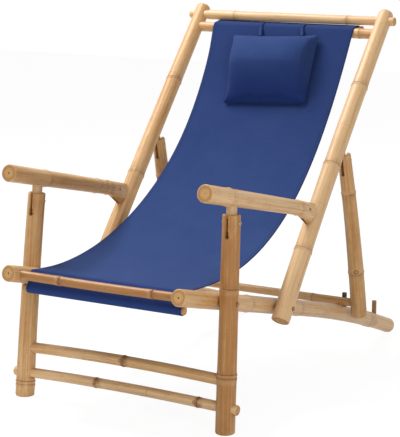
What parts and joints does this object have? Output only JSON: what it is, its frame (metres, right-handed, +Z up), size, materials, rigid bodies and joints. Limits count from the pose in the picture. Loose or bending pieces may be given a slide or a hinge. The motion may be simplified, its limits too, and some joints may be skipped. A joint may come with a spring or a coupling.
{
  "type": "lounge chair",
  "caption": "Folding bamboo lounge chair: sloping side rails, split-topped legs, round armrests and a propped back carry a hanging canvas sling with a head pillow.",
  "frame": {"origin": "on the floor, under the middle of the chair's box", "axes": "+Z up, the sitter faces -Y, +X is on the sitter's left and +Y runs to the rear"},
  "size_m": [0.6136, 1.1147, 0.8954],
  "materials": {
    "bamboo": "satin natural culm",
    "bare_cane": "bare, turned",
    "dark_peg": "matte, dark",
    "hem_rod": "matte",
    "steel": "dull",
    "canvas": "navy cotton canvas"
  },
  "bodies": {
    "base": {"side_rail_left": "bamboo", "side_rail_right": "bamboo", "front_rail": "bamboo", "front_sling_bar": "bamboo", "stop_peg_front_left": "dark_peg", "stop_peg_front_right": "dark_peg", "stop_peg_rear_left": "dark_peg", "stop_peg_rear_right": "dark_peg", "front_hem_rod": "hem_rod", "leg_pivot_pin_left": "dark_peg", "leg_pivot_pin_right": "dark_peg", "back_pivot_pin_left": "dark_peg", "back_pivot_pin_right": "dark_peg"},
    "leg_frame": {"front_leg_left": "bamboo", "front_leg_right": "bamboo", "upper_rung": "bamboo", "lower_rung": "bamboo", "post_pin_left": "dark_peg", "post_pin_right": "dark_peg"},
    "armrest_left": {"armrest_left": "bamboo", "arm_post_left": "bare_cane"},
    "armrest_right": {"armrest_right": "bamboo", "arm_post_right": "bare_cane"},
    "backrest": {"back_pole_left": "bamboo", "back_pole_right": "bamboo", "upper_top_rail": "bamboo", "lower_top_rail": "bamboo", "rear_hem_rod": "hem_rod", "arm_tenon_left": "bare_cane", "arm_tenon_right": "bare_cane", "armrest_pin_left": "dark_peg", "armrest_pin_right": "dark_peg", "prop_tenon_left": "bare_cane", "prop_tenon_right": "bare_cane", "prop_pin_left": "steel", "prop_pin_right": "steel", "sling": "canvas"},
    "prop": {"prop_strut_left": "bamboo", "prop_strut_right": "bamboo", "prop_crossbar": "bamboo"},
    "pillow": {"pillow": "canvas", "pillow_strap_left": "canvas", "pillow_strap_right": "canvas"}
  },
  "joints": [
    {"name": "backrest_raise", "type": "hinge", "parent": "base", "child": "backrest", "pos_m": [0, -0.14547, 0.2234], "axis": [1, 0, 0], "range_deg": [0, 12], "deforming": ["sling"]},
    {"name": "leg_frame_swing", "type": "hinge", "parent": "base", "child": "leg_frame", "pos_m": [0, -0.40647, 0.29048], "axis": [1, 0, 0], "range_deg": [0, 15.7]},
    {"name": "armrest_left_swing", "type": "hinge", "parent": "backrest", "child": "armrest_left", "pos_m": [-0.2706, -0.04829, 0.44476], "axis": [1, 0, 0], "range_deg": [-9.2, 0]},
    {"name": "armrest_right_swing", "type": "hinge", "parent": "backrest", "child": "armrest_right", "pos_m": [0.2706, -0.04829, 0.44476], "axis": [1, 0, 0], "range_deg": [-9.2, 0]},
    {"name": "prop_swing", "type": "hinge", "parent": "backrest", "child": "prop", "pos_m": [0, 0.16513, 0.5349], "axis": [1, 0, 0], "range_deg": [-18.1, 0]},
    {"name": "pillow_lift", "type": "hinge", "parent": "backrest", "child": "pillow", "pos_m": [0, 0.35778, 0.83172], "axis": [-1, 0, 0], "range_deg": [0, 60], "deforming": ["pillow_strap_left", "pillow_strap_right"]}
  ],
  "couplings": [
    {"joint": "leg_frame_swing", "follows": "backrest_raise", "ratio": 1.302},
    {"joint": "armrest_left_swing", "follows": "backrest_raise", "ratio": -0.76},
    {"joint": "armrest_right_swing", "follows": "backrest_raise", "ratio": -0.76},
    {"joint": "prop_swing", "follows": "backrest_raise", "ratio": -1.5}
  ]
}
